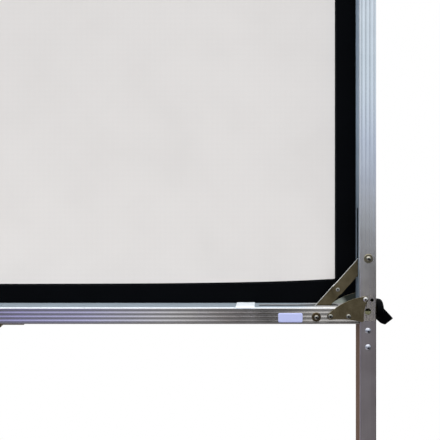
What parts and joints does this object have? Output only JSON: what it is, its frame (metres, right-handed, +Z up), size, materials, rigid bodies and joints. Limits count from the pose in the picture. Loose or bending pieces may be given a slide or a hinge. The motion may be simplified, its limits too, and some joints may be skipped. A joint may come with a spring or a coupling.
{
  "type": "outdoor projection screen",
  "caption": "Portable projection screen: white fabric with a black border snapped to a folding frame of grooved aluminium tubes with braced corners, clamped legs and cross feet.",
  "frame": {"origin": "on the floor, midway between the two feet", "axes": "+X along the rails to the right seen from the frame side, +Y to the fabric side, +Z up"},
  "size_m": [2.8676, 0.908, 2.2654],
  "materials": {
    "grooved_aluminium": "satin mill finish, extruded",
    "plain_aluminium": "satin mill finish",
    "olive_steel": "dull nickel, olive",
    "bright_steel": "bright zinc",
    "black_plastic": "moulded, fine grain",
    "brass": "turned",
    "black_paint": "satin powder coat",
    "black_rubber": "matte",
    "white_fabric": "matte projection cloth",
    "black_fabric": "matte blackout cloth"
  },
  "bodies": {
    "right_upright": {"right_upright": "grooved_aluminium", "right_upright_fasteners": "bright_steel", "right_end_cap": "black_plastic", "right_clamp_bush": "brass"},
    "right_leg": {"right_leg": "plain_aluminium", "right_leg_spigot": "plain_aluminium", "right_leg_rivets": "bright_steel", "right_foot": "black_paint", "right_foot_caps": "black_rubber", "right_foot_bolt": "bright_steel"},
    "right_clamp_screw": {"right_clamp_screw": "bright_steel"},
    "right_clamp_knob": {"right_clamp_knob": "black_plastic"},
    "left_upright": {"left_upright": "grooved_aluminium", "left_upright_fasteners": "bright_steel", "left_end_cap": "black_plastic", "left_clamp_bush": "brass"},
    "left_leg": {"left_leg": "plain_aluminium", "left_leg_spigot": "plain_aluminium", "left_leg_rivets": "bright_steel", "left_foot": "black_paint", "left_foot_caps": "black_rubber", "left_foot_bolt": "bright_steel"},
    "left_clamp_screw": {"left_clamp_screw": "bright_steel"},
    "left_clamp_knob": {"left_clamp_knob": "black_plastic"},
    "bottom_rail_1": {"bottom_rail_1": "grooved_aluminium", "bottom_hinge_1": "bright_steel", "bottom_right_corner_plates": "olive_steel", "bottom_right_rail_fasteners": "bright_steel"},
    "bottom_rail_2": {"bottom_rail_2": "grooved_aluminium", "bottom_hinge_2": "bright_steel"},
    "bottom_rail_3": {"bottom_rail_3": "grooved_aluminium", "bottom_hinge_3": "bright_steel"},
    "bottom_rail_4": {"bottom_rail_4": "grooved_aluminium", "bottom_hinge_4": "bright_steel", "bottom_left_corner_plates": "olive_steel", "bottom_left_rail_fasteners": "bright_steel"},
    "bottom_right_rail_link": {"bottom_right_rail_link": "olive_steel"},
    "bottom_right_upright_link": {"bottom_right_upright_link": "olive_steel"},
    "bottom_left_rail_link": {"bottom_left_rail_link": "olive_steel"},
    "bottom_left_upright_link": {"bottom_left_upright_link": "olive_steel"},
    "top_rail_1": {"top_rail_1": "grooved_aluminium", "top_hinge_1": "bright_steel", "top_right_corner_plates": "olive_steel", "top_right_rail_fasteners": "bright_steel"},
    "top_rail_2": {"top_rail_2": "grooved_aluminium", "top_hinge_2": "bright_steel"},
    "top_rail_3": {"top_rail_3": "grooved_aluminium", "top_hinge_3": "bright_steel"},
    "top_rail_4": {"top_rail_4": "grooved_aluminium", "top_hinge_4": "bright_steel", "top_left_corner_plates": "olive_steel", "top_left_rail_fasteners": "bright_steel"},
    "top_right_rail_link": {"top_right_rail_link": "olive_steel"},
    "top_right_upright_link": {"top_right_upright_link": "olive_steel"},
    "top_left_rail_link": {"top_left_rail_link": "olive_steel"},
    "top_left_upright_link": {"top_left_upright_link": "olive_steel"},
    "fabric": {"screen_fabric": "white_fabric", "fabric_border": "black_fabric", "border_snaps": "bright_steel"}
  },
  "joints": [
    {"name": "frame_fold", "type": "hinge", "parent": "right_upright", "child": "bottom_rail_1", "pos_m": [1.3795, 0, 0.667], "axis": [0, 1, 0], "range_deg": [0, 90]},
    {"name": "bottom_right_joint", "type": "hinge", "parent": "bottom_rail_1", "child": "bottom_rail_2", "pos_m": [0.68975, 0, 0.616], "axis": [0, 1, 0], "range_deg": [-180.01, 0]},
    {"name": "bottom_middle_joint", "type": "hinge", "parent": "bottom_rail_2", "child": "bottom_rail_3", "pos_m": [0, 0, 0.656], "axis": [0, 1, 0], "range_deg": [0, 180.01]},
    {"name": "bottom_left_joint", "type": "hinge", "parent": "bottom_rail_3", "child": "bottom_rail_4", "pos_m": [-0.68975, 0, 0.616], "axis": [0, 1, 0], "range_deg": [-180.01, 0]},
    {"name": "top_right_corner", "type": "hinge", "parent": "right_upright", "child": "top_rail_1", "pos_m": [1.3795, 0, 2.211], "axis": [0, 1, 0], "range_deg": [-90.01, 0]},
    {"name": "top_right_joint", "type": "hinge", "parent": "top_rail_1", "child": "top_rail_2", "pos_m": [0.68975, 0, 2.262], "axis": [0, 1, 0], "range_deg": [0, 180.01]},
    {"name": "bottom_left_corner", "type": "hinge", "parent": "bottom_rail_4", "child": "left_upright", "pos_m": [-1.3795, 0, 0.667], "axis": [0, 1, 0], "range_deg": [0, 90.01]},
    {"name": "top_left_corner", "type": "hinge", "parent": "left_upright", "child": "top_rail_4", "pos_m": [-1.3795, 0, 2.211], "axis": [0, 1, 0], "range_deg": [0, 90.01]},
    {"name": "top_left_joint", "type": "hinge", "parent": "top_rail_4", "child": "top_rail_3", "pos_m": [-0.68975, 0, 2.262], "axis": [0, 1, 0], "range_deg": [-180.01, 0]},
    {"name": "bottom_right_rail_link_turn", "type": "hinge", "parent": "bottom_rail_1", "child": "bottom_right_rail_link", "pos_m": [1.2871, 0, 0.6336], "axis": [0, 1, 0], "range_deg": [-118.61, 0]},
    {"name": "bottom_right_upright_link_turn", "type": "hinge", "parent": "right_upright", "child": "bottom_right_upright_link", "pos_m": [1.38525, 0, 0.7437], "axis": [0, 1, 0], "range_deg": [0, 121.1]},
    {"name": "bottom_left_rail_link_turn", "type": "hinge", "parent": "bottom_rail_4", "child": "bottom_left_rail_link", "pos_m": [-1.2871, 0, 0.6336], "axis": [0, 1, 0], "range_deg": [0, 118.61]},
    {"name": "bottom_left_upright_link_turn", "type": "hinge", "parent": "left_upright", "child": "bottom_left_upright_link", "pos_m": [-1.38525, 0, 0.7437], "axis": [0, 1, 0], "range_deg": [-121.1, 0]},
    {"name": "top_right_rail_link_turn", "type": "hinge", "parent": "top_rail_1", "child": "top_right_rail_link", "pos_m": [1.2871, 0, 2.2444], "axis": [0, 1, 0], "range_deg": [0, 118.61]},
    {"name": "top_right_upright_link_turn", "type": "hinge", "parent": "right_upright", "child": "top_right_upright_link", "pos_m": [1.38525, 0, 2.1343], "axis": [0, 1, 0], "range_deg": [-121.1, 0]},
    {"name": "top_left_rail_link_turn", "type": "hinge", "parent": "top_rail_4", "child": "top_left_rail_link", "pos_m": [-1.2871, 0, 2.2444], "axis": [0, 1, 0], "range_deg": [-118.61, 0]},
    {"name": "top_left_upright_link_turn", "type": "hinge", "parent": "left_upright", "child": "top_left_upright_link", "pos_m": [-1.38525, 0, 2.1343], "axis": [0, 1, 0], "range_deg": [0, 121.1]},
    {"name": "right_leg_slide", "type": "slide", "parent": "right_upright", "child": "right_leg", "axis": [0, 0, -1], "range_m": [0, 0.03]},
    {"name": "right_screw_feed", "type": "slide", "parent": "right_upright", "child": "right_clamp_screw", "axis": [1, 0, 0], "range_m": [0, 0.0015]},
    {"name": "right_knob_turn", "type": "hinge", "parent": "right_clamp_screw", "child": "right_clamp_knob", "pos_m": [1.3845, 0, 0.6448], "axis": [1, 0, 0], "range_deg": [0, 360]},
    {"name": "left_leg_slide", "type": "slide", "parent": "left_upright", "child": "left_leg", "axis": [0, 0, -1], "range_m": [0, 0.03]},
    {"name": "left_screw_feed", "type": "slide", "parent": "left_upright", "child": "left_clamp_screw", "axis": [-1, 0, 0], "range_m": [0, 0.0015]},
    {"name": "left_knob_turn", "type": "hinge", "parent": "left_clamp_screw", "child": "left_clamp_knob", "pos_m": [-1.3845, 0, 0.6448], "axis": [-1, 0, 0], "range_deg": [0, 360]},
    {"name": "fabric_unsnap", "type": "slide", "parent": "right_upright", "child": "fabric", "axis": [0, 1, 0], "range_m": [0, 0.08]}
  ],
  "couplings": [
    {"joint": "bottom_right_joint", "follows": "frame_fold", "ratio": -2},
    {"joint": "bottom_middle_joint", "follows": "frame_fold", "ratio": 2},
    {"joint": "bottom_left_joint", "follows": "frame_fold", "ratio": -2},
    {"joint": "top_right_corner", "follows": "frame_fold", "ratio": -1},
    {"joint": "top_right_joint", "follows": "frame_fold", "ratio": 2},
    {"joint": "bottom_left_corner", "follows": "frame_fold", "ratio": 1},
    {"joint": "top_left_corner", "follows": "frame_fold", "ratio": 1},
    {"joint": "top_left_joint", "follows": "frame_fold", "ratio": -2},
    {"joint": "bottom_right_rail_link_turn", "follows": "frame_fold", "ratio": -1.3178},
    {"joint": "bottom_right_upright_link_turn", "follows": "frame_fold", "ratio": 1.3454},
    {"joint": "bottom_left_rail_link_turn", "follows": "frame_fold", "ratio": 1.3178},
    {"joint": "bottom_left_upright_link_turn", "follows": "frame_fold", "ratio": -1.3454},
    {"joint": "top_right_rail_link_turn", "follows": "frame_fold", "ratio": 1.3178},
    {"joint": "top_right_upright_link_turn", "follows": "frame_fold", "ratio": -1.3454},
    {"joint": "top_left_rail_link_turn", "follows": "frame_fold", "ratio": -1.3178},
    {"joint": "top_left_upright_link_turn", "follows": "frame_fold", "ratio": 1.3454},
    {"joint": "right_screw_feed", "follows": "right_knob_turn", "m_per_rad": 0.0002387},
    {"joint": "left_screw_feed", "follows": "left_knob_turn", "m_per_rad": 0.0002387}
  ]
}
